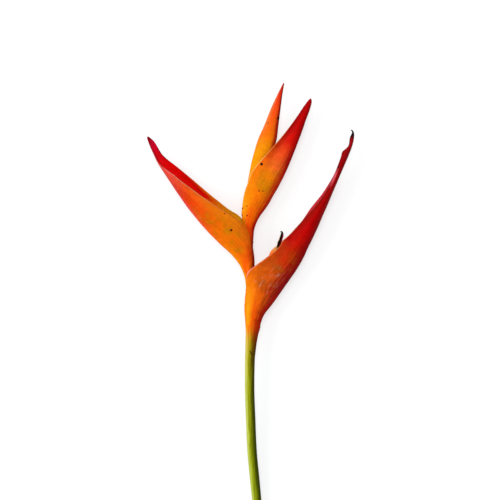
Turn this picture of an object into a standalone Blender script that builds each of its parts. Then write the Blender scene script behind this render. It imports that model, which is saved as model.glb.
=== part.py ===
"""Heliconia flower of the parrot kind, cut and laid on a flat surface.

A round stem carries four boat-shaped bracts, which stand left and right of it by turns.
The head lies on the bellies of its two lowest bracts and on the stem's cut end.
The origin is under the middle of the flower, on the surface: X runs across the head, Y runs
from the cut end to the tips, and Z is up.  Every size below is in millimetres, and one
function turns them into metres.
"""

import math
from dataclasses import dataclass

import bmesh
import bpy
from mathutils import Vector

MM = 0.001

# Height of the head's middle plane above the surface
HEAD_HEIGHT = 6.8
# Height of the stem's centre at its cut end, and where the stem starts to come down
CUT_HEIGHT = 2.36
CUT_Y = -118.0
STEM_LEVEL_Y = -14.0
# Steepness of the stem at its cut end, against a straight slope
STEM_BOW = 1.4

# Thickness of a bract's wall.  It thins where the two sides come close, as at the tip, where
# it takes up no more than this share of the way to the middle.
BRACT_WALL = 0.85
WALL_SHARE = 0.85

# Faces of the lofts
BRACT_RINGS = 30
HALF_SECTION_STEPS = 6
STEM_SIDES = 18
SPINDLE_RINGS = 16
SPINDLE_SIDES = 12

# Shape of a bract's half section: width of the rounded keel and of the belly, as shares of the
# fullness, and how far up the side the belly is
KEEL_SHARE = 0.55
BELLY_SHARE = 1.25
BELLY_AT = 0.55
# The wall thickens towards a line in the middle of the boat, which starts this share of the
# depth over the keel and ends this share over the rims
CORE_START = 0.18
CORE_OVER_RIM = 0.03


@dataclass
class Bract:
    """One boat-shaped bract: its keel and the rims of its two sides, from base to tip."""

    name: str
    colour: tuple
    # x, y, height over the head's middle plane, fullness of the side
    keel: tuple
    # x, y, height over the head's middle plane
    near_rim: tuple
    # the same for the far side, or None where it mirrors the near one
    far_rim: tuple
    # how far a mirrored far rim stands out from the keel, against the near one
    far_reach: float


LOWEST_BRACT = Bract(
    name="bract_lowest",
    colour=(0.62, 0.08, 0.012),
    keel=(
        (5.5, -14.6, 0.0, 4.5), (6.9, -10.5, 0.0, 5.0), (11.9, -3.2, 0.0, 5.9),
        (19.6, 7.3, 0.0, 6.9), (27.2, 18.4, 0.0, 7.6), (32.1, 28.8, 0.0, 7.8),
        (36.0, 37.2, 0.0, 7.6), (43.3, 54.3, 0.0, 6.2), (50.7, 72.1, 0.0, 4.0),
        (54.0, 78.2, 0.0, 2.9), (55.8, 83.5, 0.0, 2.0), (56.8, 87.7, 0.0, 1.3),
        (57.0, 90.1, 0.0, 0.9), (56.2, 92.0, 0.0, 0.6), (55.3, 92.4, 0.0, 0.5),
    ),
    near_rim=(
        (-2.9, -4.6, 2.4), (-2.3, 1.0, 3.4), (-1.9, 6.8, 4.6), (-2.0, 12.3, 5.4),
        (-1.0, 14.6, 5.7), (1.9, 16.9, 5.8), (9.2, 22.3, 5.6), (15.0, 27.0, 5.3),
        (19.5, 31.2, 5.1), (25.6, 38.7, 4.8), (37.5, 54.3, 3.8), (47.2, 69.1, 2.4),
        (48.2, 73.0, 2.1), (49.9, 78.2, 1.6), (50.8, 80.3, 1.5), (53.6, 83.0, 1.2),
        (54.9, 87.5, 0.8), (55.9, 90.2, 0.5), (55.5, 91.3, 0.45), (55.0, 91.6, 0.4),
    ),
    far_rim=None,
    far_reach=1.04,
)

LEFT_BRACT = Bract(
    name="bract_left",
    colour=(0.8, 0.17, 0.015),
    keel=(
        (-2.5, 5.2, 0.0, 3.9), (-3.2, 10.9, 0.0, 4.2), (-5.3, 16.4, -0.3, 4.8),
        (-9.6, 22.8, -0.9, 5.7), (-16.8, 29.6, -1.75, 6.7), (-26.1, 39.5, -2.35, 6.9),
        (-34.4, 49.7, -2.75, 6.2), (-41.8, 60.7, -2.9, 5.0), (-47.2, 69.5, -3.3, 3.6),
        (-50.8, 76.8, -3.6, 2.6), (-53.9, 82.8, -3.2, 1.8), (-56.0, 86.8, -2.3, 1.1),
        (-56.9, 88.2, -1.8, 0.6),
    ),
    near_rim=(
        (1.6, 14.0, 2.2), (1.4, 17.3, 2.9), (0.8, 23.3, 4.0), (0.5, 28.9, 4.9),
        (-0.8, 33.7, 5.4), (-4.5, 40.0, 5.8), (-10.8, 45.3, 6.2), (-18.7, 50.0, 6.2),
        (-29.2, 57.1, 5.4), (-41.3, 66.3, 3.4), (-50.5, 74.2, 1.0), (-52.9, 78.6, 0.0),
        (-55.3, 83.3, -0.6), (-56.8, 88.0, -1.1),
    ),
    far_rim=(
        (1.6, 14.0, -2.2), (1.6, 19.5, -3.2), (1.4, 26.1, -4.4), (-0.2, 33.5, -5.0),
        (-3.4, 40.5, -5.0), (-8.1, 46.5, -4.4), (-18.7, 54.2, -3.2), (-29.2, 63.1, -2.6),
        (-39.7, 71.6, -2.4), (-47.5, 77.8, -2.2), (-50.6, 80.9, -2.0), (-52.1, 83.9, -1.9),
        (-54.7, 87.3, -1.6), (-56.6, 88.8, -1.3),
    ),
    far_reach=1.0,
)

UPPER_BRACT = Bract(
    name="bract_upper_right",
    colour=(0.8, 0.15, 0.014),
    keel=(
        (1.5, 31.6, 0.0, 3.7), (2.0, 37.7, 0.0, 4.3), (5.2, 44.6, 0.0, 5.0),
        (8.0, 48.3, 0.0, 5.4), (14.0, 58.3, 0.0, 6.0), (19.0, 67.8, 0.0, 6.1),
        (23.5, 78.5, 0.0, 5.4), (28.0, 90.3, 0.0, 3.8), (30.7, 98.1, 0.0, 2.7),
        (33.0, 104.6, 0.0, 1.7), (33.7, 107.9, 0.0, 1.0), (33.4, 109.4, 0.0, 0.6),
    ),
    near_rim=(
        (-3.7, 40.9, 1.8), (-4.6, 45.9, 2.4), (-4.1, 51.4, 3.0), (-2.9, 58.0, 3.6),
        (-1.0, 63.5, 4.2), (0.8, 68.7, 4.6), (2.8, 71.8, 4.8), (10.1, 80.2, 4.7),
        (17.9, 89.2, 3.2), (25.4, 99.2, 1.8), (29.8, 105.8, 1.0), (31.6, 108.2, 0.7),
        (32.7, 109.4, 0.5),
    ),
    far_rim=None,
    far_reach=0.99,
)

TOP_BRACT = Bract(
    name="bract_top",
    colour=(0.9, 0.25, 0.02),
    keel=(
        (-4.0, 44.5, 0.0, 2.5), (-3.6, 51.0, 0.0, 2.7), (-2.3, 58.0, 0.0, 3.0),
        (-0.9, 64.5, 0.0, 3.2), (-0.3, 69.0, 0.0, 3.3), (2.2, 80.2, 0.0, 3.4),
        (4.5, 87.5, 0.0, 3.2), (7.3, 93.7, 0.0, 2.8), (11.9, 105.1, 0.0, 1.8),
        (16.3, 114.7, 0.0, 0.9), (18.0, 118.0, 0.0, 0.5),
    ),
    near_rim=(
        (0.6, 47.5, 0.5), (2.3, 54.0, 0.6), (5.2, 63.0, 0.7), (8.8, 72.3, 0.8),
        (12.0, 80.0, 0.8), (14.0, 85.8, 0.8), (15.2, 94.3, 0.7), (16.3, 102.9, 0.6),
        (17.5, 111.8, 0.5), (18.6, 117.9, 0.4),
    ),
    far_rim=None,
    far_reach=1.0,
)

BRACTS = (LOWEST_BRACT, LEFT_BRACT, UPPER_BRACT, TOP_BRACT)



@dataclass
class Spindle:
    """A slender round body of a floret, with pointed or blunt ends."""

    name: str
    colour: tuple
    roughness: float
    # x, y, height over the head's middle plane, half width
    path: tuple
    # half depth as a share of the half width
    flatness: float


SPINDLES = (
    Spindle(
        name="floret_ovary", colour=(0.75, 0.3, 0.04), roughness=0.45, flatness=0.9,
        path=(
            (3.2, -1.2, 0.7, 0.6), (4.4, 2.0, 0.8, 0.7), (7.0, 9.0, 1.0, 0.75),
            (9.8, 17.0, 1.2, 1.0), (11.4, 21.3, 1.4, 1.9), (12.7, 24.4, 1.5, 2.4),
            (13.8, 25.8, 1.6, 1.9), (14.5, 26.5, 1.6, 1.1),
        ),
    ),
    Spindle(
        name="floret_withered", colour=(0.02, 0.012, 0.01), roughness=0.7, flatness=0.7,
        path=(
            (14.9, 27.2, 1.6, 0.8), (15.3, 28.3, 1.6, 1.15), (15.9, 29.9, 1.6, 1.2),
            (16.7, 32.3, 1.5, 0.95), (17.3, 34.6, 1.4, 0.65), (17.4, 35.8, 1.4, 0.5),
            (17.0, 36.5, 1.4, 0.45), (16.4, 36.6, 1.4, 0.35),
        ),
    ),
    Spindle(
        name="bud_lowest", colour=(0.85, 0.35, 0.03), roughness=0.45, flatness=1.0,
        path=(
            (2.5, 2.0, -1.1, 0.5), (3.4, 4.2, -1.4, 0.6), (5.2, 8.2, -1.8, 1.0),
            (7.6, 14.0, -1.8, 1.4), (9.6, 19.0, -1.6, 0.9), (10.6, 21.6, -1.4, 0.35),
        ),
    ),
    Spindle(
        name="bud_left", colour=(0.85, 0.35, 0.03), roughness=0.45, flatness=1.0,
        path=(
            (-2.7, 19.0, -0.2, 0.5), (-3.5, 21.5, -0.4, 0.6), (-5.5, 26.5, -0.8, 1.1),
            (-8.4, 33.0, -1.2, 1.5), (-11.5, 39.0, -1.6, 1.0), (-13.2, 42.2, -1.8, 0.35),
        ),
    ),
)

# Stem and rachis: x, y, half width, half depth, and the turn of the ring in degrees.  A pair of
# rings in one place is the ledge that a bract's base stands on.
STEM_RINGS = (
    (4.1, CUT_Y, 2.4, 2.35, 8.0),
    (3.5, -111.4, 2.4, 2.35, 6.0),
    (2.3, -99.2, 2.5, 2.4, 5.0),
    (0.9, -83.9, 2.45, 2.4, 4.0),
    (0.2, -67.4, 2.5, 2.4, 2.0),
    (-0.4, -48.2, 2.5, 2.4, 1.0),
    (-0.3, -34.4, 2.6, 2.5, -2.0),
    (0.1, -28.4, 2.85, 2.7, -4.0),
    (0.4, -24.0, 3.15, 2.9, -9.0),
    (0.9, -19.6, 3.8, 3.2, -19.0),
    (1.1, -14.6, 5.1, 3.6, -36.0),
    (1.0, -10.1, 6.9, 3.9, -50.3),
    (0.2, -9.2, 5.7, 2.5, -50.3),
    (-0.5, -1.5, 2.75, 2.3, -18.0),
    (-0.6, 4.0, 2.2, 2.2, 20.0),
    (-0.45, 9.2, 4.4, 2.6, 62.6),
    (0.1, 10.4, 3.1, 1.9, 62.6),
    (-0.2, 22.0, 1.75, 1.7, 5.0),
    (-0.4, 28.0, 1.7, 1.7, -20.0),
    (-1.1, 35.8, 5.2, 2.4, -60.8),
    (-1.7, 37.0, 3.7, 1.5, -60.8),
    (-1.8, 44.0, 1.0, 1.0, -10.0),
    (-1.6, 47.5, 0.7, 0.7, 0.0),
)


class Curve:
    """A smooth curve through given points, read by the share of its length."""

    STEPS = 12
    NUDGE = 0.01

    def __init__(self, points):
        knots = [Vector(p) for p in points]
        knots = [2 * knots[0] - knots[1]] + knots + [2 * knots[-1] - knots[-2]]
        self.line = [knots[1]]
        for before, start, end, after in zip(knots, knots[1:], knots[2:], knots[3:]):
            for step in range(1, self.STEPS + 1):
                self.line.append(self.between(before, start, end, after, step / self.STEPS))
        self.reach = [0.0]
        for a, b in zip(self.line, self.line[1:]):
            self.reach.append(self.reach[-1] + (b.to_3d() - a.to_3d()).length)

    @staticmethod
    def between(before, start, end, after, t):
        """Point of the stretch from start to end, with the slopes that the chords give."""
        chord = (end - start).length
        before_chord = max((start - before).length, 1e-6)
        after_chord = max((after - end).length, 1e-6)
        slope = (end - start) / chord
        leave = ((start - before) / before_chord * chord + slope * before_chord)
        leave *= chord / (chord + before_chord)
        arrive = (slope * after_chord + (after - end) / after_chord * chord)
        arrive *= chord / (chord + after_chord)
        return ((2 * t**3 - 3 * t**2 + 1) * start + (t**3 - 2 * t**2 + t) * leave
                + (-2 * t**3 + 3 * t**2) * end + (t**3 - t**2) * arrive)

    def at(self, share):
        """Point at a share of the curve's length, from 0 to 1."""
        target = min(max(share, 0.0), 1.0) * self.reach[-1]
        for index in range(1, len(self.reach)):
            if self.reach[index] >= target:
                span = self.reach[index] - self.reach[index - 1]
                mix = (target - self.reach[index - 1]) / span if span else 0.0
                return self.line[index - 1].lerp(self.line[index], mix)
        return self.line[-1]

    def direction(self, share):
        """Unit vector along the curve at a share of its length."""
        ahead, behind = self.at(share + self.NUDGE), self.at(share - self.NUDGE)
        return (ahead.to_3d() - behind.to_3d()).normalized()


def far_rim_point(bract, keel, near, share, far_curve):
    """Point of the far rim: from its own curve, or the near rim mirrored in the middle plane."""
    if far_curve is not None:
        return far_curve.at(share)
    out = keel + (near - keel) * bract.far_reach
    return Vector((out.x, out.y, 2 * keel.z - near.z))


def half_section(keel, rim, middle, side, fullness):
    """Outer and inner points of one side of a bract, from the keel to the rim."""
    up = rim - keel
    belly = keel + up * BELLY_AT
    belly += side * (BELLY_SHARE * fullness - (up * BELLY_AT).dot(side))
    shoulder = keel + side * (KEEL_SHARE * fullness)
    outer, inner = [], []
    for step in range(HALF_SECTION_STEPS + 1):
        v = step / HALF_SECTION_STEPS
        point = ((1 - v)**3 * keel + 3 * v * (1 - v)**2 * shoulder
                 + 3 * v**2 * (1 - v) * belly + v**3 * rim)
        height = 3 * BELLY_AT * v**2 * (1 - v) + v**3
        rise = CORE_START + (1 + CORE_OVER_RIM - CORE_START) * height
        pull = keel + (middle - keel) * rise - point
        outer.append(point)
        inner.append(point + pull * min(BRACT_WALL / pull.length, WALL_SHARE))
    return outer, inner


def bract_ring(bract, curves, share):
    """Closed loop of a bract's section: the outside from rim to rim, and back along the inside."""
    keel_curve, near_curve, far_curve = curves
    at_keel = keel_curve.at(share)
    keel, fullness = at_keel.to_3d(), at_keel.w
    near = near_curve.at(share)
    far = far_rim_point(bract, keel, near, share, far_curve)
    middle = (near + far) / 2
    side = keel_curve.direction(share).cross(middle - keel).normalized()
    if side.z < 0:
        side = -side
    near_outer, near_inner = half_section(keel, near, middle, side, fullness)
    far_outer, far_inner = half_section(keel, far, middle, -side, fullness)
    outer = far_outer[:0:-1] + near_outer
    inner = far_inner[:0:-1] + near_inner
    return outer, inner


def add_quad(bm, corners):
    """Two triangles over four corners, split from the first corner to the third."""
    a, b, c, d = corners
    bm.faces.new((a, b, c))
    bm.faces.new((a, c, d))


def to_metres(point):
    """World point in metres of a point given over the head's middle plane."""
    return Vector((point.x, point.y, point.z + HEAD_HEIGHT)) * MM


def finish_object(name, bm, colour, roughness):
    """Turn a closed bmesh into a named, smooth-shaded object with a material of its own."""
    bmesh.ops.recalc_face_normals(bm, faces=bm.faces)
    mesh = bpy.data.meshes.new(name)
    bm.to_mesh(mesh)
    bm.free()
    mesh.shade_smooth()
    mesh.set_sharp_from_angle(angle=math.radians(50))
    material = bpy.data.materials.new(name + "_skin")
    material.use_nodes = True
    shader = material.node_tree.nodes["Principled BSDF"]
    shader.inputs["Base Color"].default_value = (*colour, 1.0)
    shader.inputs["Roughness"].default_value = roughness
    shader.inputs["Metallic"].default_value = 0.0
    mesh.materials.append(material)
    obj = bpy.data.objects.new(name, mesh)
    bpy.context.collection.objects.link(obj)
    return obj


def make_bract(bract):
    """Closed shell of one bract, lofted from base to tip."""
    curves = (Curve(bract.keel), Curve(bract.near_rim),
              Curve(bract.far_rim) if bract.far_rim else None)
    bm = bmesh.new()
    rings = []
    for index in range(BRACT_RINGS + 1):
        outer, inner = bract_ring(bract, curves, index / BRACT_RINGS)
        rings.append(([bm.verts.new(to_metres(p)) for p in outer],
                      [bm.verts.new(to_metres(p)) for p in inner]))
    last = 2 * HALF_SECTION_STEPS
    for (outer_a, inner_a), (outer_b, inner_b) in zip(rings, rings[1:]):
        for step in range(last):
            add_quad(bm, (outer_a[step], outer_a[step + 1], outer_b[step + 1], outer_b[step]))
            add_quad(bm, (inner_a[step], inner_a[step + 1], inner_b[step + 1], inner_b[step]))
        for rim in (0, last):
            add_quad(bm, (outer_a[rim], inner_a[rim], inner_b[rim], outer_b[rim]))
    for outer, inner in (rings[0], rings[-1]):
        for step in range(last):
            add_quad(bm, (outer[step], outer[step + 1], inner[step + 1], inner[step]))
    return finish_object(bract.name, bm, bract.colour, 0.4)


def stem_drop(y):
    """How far the stem's centre lies under the head's middle plane at a place along it."""
    share = max(0.0, (STEM_LEVEL_Y - y) / (STEM_LEVEL_Y - CUT_Y))
    eased = share**2 * (3 - STEM_BOW) + share**3 * (STEM_BOW - 2)
    return eased * (HEAD_HEIGHT - CUT_HEIGHT)


def bridge_rings(bm, rings):
    """Skin over a row of vertex rings, with a flat cap at each end, in triangles."""
    for ring_a, ring_b in zip(rings, rings[1:]):
        bmesh.ops.bridge_loops(bm, edges=loop_edges(bm, ring_a) + loop_edges(bm, ring_b))
    bm.faces.new(rings[0])
    bm.faces.new(rings[-1])
    bmesh.ops.triangulate(bm, faces=bm.faces)


def make_spindle(spindle):
    """Closed round body of a floret or a bud, along its path."""
    curve = Curve(spindle.path)
    bm = bmesh.new()
    rings = []
    for index in range(SPINDLE_RINGS + 1):
        share = index / SPINDLE_RINGS
        at_path = curve.at(share)
        across = curve.direction(share).cross(Vector((0.0, 0.0, 1.0))).normalized()
        upward = across.cross(curve.direction(share)).normalized()
        ring = []
        for side in range(SPINDLE_SIDES):
            angle = 2 * math.pi * side / SPINDLE_SIDES
            point = at_path.to_3d() + across * (at_path.w * math.cos(angle))
            point += upward * (at_path.w * spindle.flatness * math.sin(angle))
            ring.append(bm.verts.new(to_metres(point)))
        rings.append(ring)
    bridge_rings(bm, rings)
    return finish_object(spindle.name, bm, spindle.colour, spindle.roughness)


def make_stem():
    """Stem and the zigzag rachis inside the head, grown as one piece."""
    bm = bmesh.new()
    rings = []
    for x, y, half_width, half_depth, turn in STEM_RINGS:
        across = Vector((math.cos(math.radians(turn)), math.sin(math.radians(turn)), 0.0))
        centre = Vector((x, y, -stem_drop(y)))
        ring = []
        for side in range(STEM_SIDES):
            angle = 2 * math.pi * side / STEM_SIDES
            point = centre + across * (half_width * math.cos(angle))
            point.z += half_depth * math.sin(angle)
            ring.append(bm.verts.new(to_metres(point)))
        rings.append(ring)
    bridge_rings(bm, rings)
    return finish_object("stem", bm, (0.35, 0.42, 0.03), 0.45)


def loop_edges(bm, ring):
    """Edges of a ring of vertices, made where they aren't there yet."""
    edges = []
    for a, b in zip(ring, ring[1:] + ring[:1]):
        edges.append(bm.edges.get((a, b)) or bm.edges.new((a, b)))
    return edges


def main():
    """Clear the scene and build the flower."""
    for obj in list(bpy.data.objects):
        bpy.data.objects.remove(obj)
    make_stem()
    for bract in BRACTS:
        make_bract(bract)
    for spindle in SPINDLES:
        make_spindle(spindle)


main()
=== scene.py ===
"""Looks of a cut heliconia flower that lies on a pale surface.

The flower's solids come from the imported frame.  Each is replaced by a finer piece of the same
form: the stem with its zigzag axis, four boat-shaped bracts, the base of a floret and its
withered petals, and two buds.  Shapes are worked out in millimetres over the head's middle
plane, and one function turns them into metres in the frame.
"""

import logging
import math
from collections.abc import Callable, Sequence
from dataclasses import dataclass
from enum import Enum
from functools import cached_property

import bmesh
import bpy
import numpy as np
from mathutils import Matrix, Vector, noise


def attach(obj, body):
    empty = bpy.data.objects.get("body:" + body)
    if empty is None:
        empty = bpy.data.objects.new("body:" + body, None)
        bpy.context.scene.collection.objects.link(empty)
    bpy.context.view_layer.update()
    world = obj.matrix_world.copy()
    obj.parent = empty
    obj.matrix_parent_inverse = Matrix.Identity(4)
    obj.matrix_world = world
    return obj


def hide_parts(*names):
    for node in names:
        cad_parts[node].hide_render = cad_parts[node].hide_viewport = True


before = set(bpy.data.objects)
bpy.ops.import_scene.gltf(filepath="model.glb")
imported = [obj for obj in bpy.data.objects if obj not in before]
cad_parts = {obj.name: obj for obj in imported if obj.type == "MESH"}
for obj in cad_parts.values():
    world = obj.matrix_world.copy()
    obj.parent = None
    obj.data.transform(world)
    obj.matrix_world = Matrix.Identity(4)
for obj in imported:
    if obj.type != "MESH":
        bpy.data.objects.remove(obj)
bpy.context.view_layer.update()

logging.basicConfig(level=logging.INFO, format="%(message)s", force=True)
LOG = logging.getLogger("heliconia")

MM = 0.001
BODY = "root"

# Height of the head's middle plane above the surface, as in the solids
HEAD_HEIGHT = 6.8
# Places along a piece are rounded to this many digits, so that each section is made once
DIGITS = 6
# Sockets of a Mix node of colours: the factor, the lower and upper colour, and the result
MIX_FACTOR, MIX_UNDER, MIX_OVER, MIX_RESULT = 0, 6, 7, 2

Row = tuple[float, ...]
Rows = tuple[Row, ...]
Stops = tuple[tuple[float, str], ...]
Tree = bpy.types.NodeTree
Socket = bpy.types.NodeSocket
Marks = Sequence[tuple[Vector, float]]


class Side(Enum):
    """The two sides of a bract: the near one is up, and the far one is towards the surface."""

    NEAR = 1
    FAR = -1


class Slopes(Enum):
    """How a curve turns at its points: as its chords lead, or so that it never swings past."""

    CHORDS = "chords"
    STEADY = "steady"


def linear(hex_colour: str) -> tuple[float, float, float, float]:
    """Turn an sRGB hex colour into linear red, green, blue and alpha.

    Args:
        hex_colour: A colour such as "#fc6a02".

    Returns:
        The four linear values.
    """
    parts = [int(hex_colour[i:i + 2], 16) / 255 for i in (1, 3, 5)]
    red, green, blue = (p / 12.92 if p <= 0.04045 else ((p + 0.055) / 1.055) ** 2.4 for p in parts)
    return (red, green, blue, 1.0)


def ramp(text: str) -> Stops:
    """Read a colour ramp from a text of places and hex colours, such as "0 #fc6a02, 1 #a81018"."""
    stops = (stop.split() for stop in text.split(", "))
    return tuple((float(place), colour) for place, colour in stops)


def per_mm(size: float) -> float:
    """Scale of a pattern on Object coordinates whose features are this many millimetres apart."""
    return 1.0 / (size * MM)


def ease(low: float, high: float, value: float) -> float:
    """Ease from 0 at low to 1 at high."""
    share = min(max((value - low) / (high - low), 0.0), 1.0)
    return share * share * (3 - 2 * share)


def to_metres(point: Vector) -> Vector:
    """World place in metres of a point given in millimetres over the head's middle plane."""
    return Vector((point.x, point.y, point.z + HEAD_HEIGHT)) * MM


def add_node(
    tree: Tree,
    kind: str,
    inputs: dict[str | int, object] | None = None,
    out: str | int = 0,
    stops: Stops = (),
    **settings: object,
) -> Socket | None:
    """Add one node with its settings and its links.

    Args:
        tree: The node tree of a material.
        kind: The node's type name, without ShaderNode before it.
        inputs: For each input, an output socket to link, a hex colour or a value to set.
        out: The output to hand on.
        stops: Places and hex colours, for a colour ramp.
        settings: The node's own properties.

    Returns:
        That output, or None where the node has no outputs.
    """
    node = tree.nodes.new("ShaderNode" + kind)
    for name, value in settings.items():
        setattr(node, name, value)
    for key, value in (inputs or {}).items():
        if isinstance(value, Socket):
            tree.links.new(value, node.inputs[key])
        else:
            node.inputs[key].default_value = linear(value) if isinstance(value, str) else value
    for index, (place, colour) in enumerate(stops):
        elements = node.color_ramp.elements
        element = elements[index] if index < len(elements) else elements.new(place)
        element.position, element.color = place, linear(colour)
    return node.outputs[out] if node.outputs else None


def mask(value: Socket, start: float, end: float) -> Socket:
    """Soft mask over a value, from 0 at start to 1 at end, which may be under start."""
    return add_node(value.id_data, "MapRange", {
        "Value": value, "From Min": start, "From Max": end,
    }, interpolation_type="SMOOTHSTEP")


def layered(tree: Tree, base: object, layers: Sequence[tuple[object, object]],
            blend: str = "MIX") -> Socket:
    """Lay tints over a colour, one after the other.

    Args:
        tree: The node tree.
        base: The colour under them all.
        layers: For each tint, how much of it shows, and the tint.
        blend: The kind of blending.

    Returns:
        The colour that results.
    """
    for factor, tint in layers:
        base = add_node(tree, "Mix", {
            MIX_FACTOR: factor, MIX_UNDER: base, MIX_OVER: tint,
        }, MIX_RESULT, data_type="RGBA", blend_type=blend)
    return base


def product(*factors: Socket | float) -> Socket | float:
    """Product of masks and strengths, or 0 where the first of them is the number 0."""
    total = factors[0]
    for factor in factors[1:]:
        total = total and add_node(total.id_data, "Math", {0: total, 1: factor},
                                   operation="MULTIPLY")
    return total


def wandered(value: Socket, pattern: Socket, reach: Socket | float) -> Socket:
    """A value that a pattern shifts by up to half the reach either way."""
    swing = add_node(value.id_data, "Math", {0: pattern, 1: 0.5}, operation="SUBTRACT")
    return add_node(value.id_data, "Math", {0: swing, 1: reach, 2: value},
                    operation="MULTIPLY_ADD")


def dark_marks(place: Socket, marks: Marks, blur: float = 0.25) -> Socket | float:
    """Mask of small dark marks, each a round spot.

    Args:
        place: Object coordinates.
        marks: World place and radius in millimetres of each mark.
        blur: How soft a mark's edge is, in millimetres.

    Returns:
        The mask, or 0 where there are no marks.
    """
    tree, total = place.id_data, 0.0
    for centre, radius in marks:
        gap = add_node(tree, "VectorMath", {0: place, 1: centre}, "Value", operation="DISTANCE")
        mark = mask(gap, (radius + blur) * MM, (radius - blur) * MM)
        total = add_node(tree, "Math", {0: total, 1: mark}, operation="MAXIMUM")
    return total


def start_material(name: str) -> tuple[bpy.types.Material, Tree, Socket]:
    """Start a material.

    Args:
        name: The material's name.

    Returns:
        The material, its empty node tree, and Object coordinates in it.
    """
    material = bpy.data.materials.new(name)
    material.use_nodes = True
    tree = material.node_tree
    tree.nodes.clear()
    return material, tree, add_node(tree, "TexCoord", out="Object")


def end_material(tree: Tree, inputs: dict[str | int, object]) -> None:
    """Give a material its shader, with all that goes into it."""
    add_node(tree, "OutputMaterial", {"Surface": add_node(tree, "BsdfPrincipled", inputs)})


class Curve:
    """A smooth curve through given points, read by the share of its length."""

    STEPS = 12
    NUDGE = 0.01
    # Shares under 0, down to minus this one, read the root
    ROOT = 0.05

    def __init__(self, points: Rows, measured: int = 4, slopes: Slopes = Slopes.CHORDS,
                 root: Row = ()) -> None:
        """Sample the curve.

        Args:
            points: The points: three of place, or two, and then values that follow the curve.
            measured: How many of a point's values count for the distance between points.
            slopes: How the curve turns at its points.
            root: A point before the first one, which leads up to it.
        """
        knots = np.array(points, dtype=float)
        chords = np.linalg.norm(np.diff(knots[:, :measured], axis=0), axis=1)
        rates = np.diff(knots, axis=0) / chords[:, None]
        before, after = np.vstack((rates[:1], rates)), np.vstack((rates, rates[-1:]))
        lead = np.append(chords[:1], chords)[:, None]
        tail = np.append(chords, chords[-1:])[:, None]
        turns = (before * tail + after * lead) / (lead + tail)
        if slopes is Slopes.STEADY:
            same_way = before * after > 0
            safe = np.where(same_way, before + after, 1.0)
            turns = np.where(same_way, 2 * before * after / safe, 0.0)
        if root:
            lead_in = knots[0] - np.array(root)
            chord = np.linalg.norm(lead_in[:measured])
            knots, turns = np.vstack((root, knots)), np.vstack((lead_in / chord, turns))
            chords = np.append(chord, chords)
        line = [knots[0]]
        for start, end, leave, arrive, chord in zip(knots, knots[1:], turns, turns[1:], chords):
            for t in np.linspace(0, 1, self.STEPS + 1)[1:]:
                line.append((2 * t**3 - 3 * t**2 + 1) * start
                            + (t**3 - 2 * t**2 + t) * chord * leave
                            + (-2 * t**3 + 3 * t**2) * end + (t**3 - t**2) * chord * arrive)
        self.line = np.array(line)
        steps = np.linalg.norm(np.diff(self.line[:, :min(measured, 3)], axis=0), axis=1)
        self.reach = np.concatenate(([0.0], np.cumsum(steps)))
        self.reach -= self.reach[self.STEPS if root else 0]
        self.length = float(self.reach[-1])

    def values(self, share: float) -> list[float]:
        """All the values of the point at a share of the curve's length."""
        target = min(max(share, 0.0), 1.0) * self.length
        target -= min(max(share / self.ROOT, -1.0), 0.0) * self.reach[0]
        return [float(np.interp(target, self.reach, column)) for column in self.line.T]

    def at(self, share: float) -> Vector:
        """Place at a share of the curve's length."""
        return Vector(self.values(share)[:3])

    def direction(self, share: float) -> Vector:
        """Unit vector along the curve at a share of its length."""
        return (self.at(share + self.NUDGE) - self.at(share - self.NUDGE)).normalized()


def put_in_scene(name: str, data: bpy.types.ID) -> bpy.types.Object:
    """Put a mesh, a light or a camera in the scene as an object."""
    item = bpy.data.objects.new(name, data)
    bpy.context.scene.collection.objects.link(item)
    return item


def finish_piece(name: str, bm: bmesh.types.BMesh, materials: Sequence[bpy.types.Material],
                 node: str) -> bpy.types.Object:
    """Turn a bmesh into a smooth-shaded piece that stands for a node of the frame.

    Args:
        name: The piece's name.
        bm: The shape, in metres; it is freed.
        materials: The piece's materials, in the order of its faces' indices.
        node: The node that the piece replaces.

    Returns:
        The piece.
    """
    mesh = bpy.data.meshes.new(name)
    bm.to_mesh(mesh)
    bm.free()
    mesh.shade_smooth()
    for material in materials:
        mesh.materials.append(material)
    piece = put_in_scene(name, mesh)
    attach(piece, BODY)
    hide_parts(node)
    return piece


@dataclass(frozen=True, kw_only=True)
class Skin:
    """Grown plant tissue under its wax: finely grained, with a glow where light enters it.

    The wax shines only faintly, because the flower's colours are full.
    """

    name: str
    glow: float = 0.08

    GRAIN_SIZE = 0.5
    # Height of the grain against the veins, and of them both in millimetres
    GRAIN_SHARE = 0.25
    RELIEF = 0.12
    RELIEF_STRENGTH = 0.4
    REFRACTION = 1.45
    SHINE = 0.025
    # How far red, green and blue light go in the tissue, as shares of a depth in millimetres
    GLOW_REACH = (1.0, 0.35, 0.12)
    GLOW_DEPTH = 0.8

    def grain(self, place: Socket) -> Socket:
        """Pattern of the skin's fine grain."""
        return add_node(place.id_data, "TexNoise", {
            "Vector": place, "Scale": per_mm(self.GRAIN_SIZE), "Detail": 2.0,
        })

    def cover(self, colour: Socket, rough: Socket, grain: Socket, veins: Socket) -> None:
        """Give the material its shader.

        Args:
            colour: The skin's colour.
            rough: Its roughness.
            grain: The pattern of its grain.
            veins: The pattern of its veins or streaks, which stand out of it.
        """
        tree = colour.id_data
        height = add_node(tree, "Math", {0: grain, 1: self.GRAIN_SHARE, 2: veins},
                          operation="MULTIPLY_ADD")
        bump = add_node(tree, "Bump", {
            "Height": height, "Strength": self.RELIEF_STRENGTH, "Distance": self.RELIEF * MM,
        })
        end_material(tree, {
            "Base Color": colour, "Roughness": rough, "Normal": bump, "IOR": self.REFRACTION,
            "Specular IOR Level": self.SHINE, "Subsurface Weight": self.glow,
            "Subsurface Radius": self.GLOW_REACH, "Subsurface Scale": self.GLOW_DEPTH * MM,
        })


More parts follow.
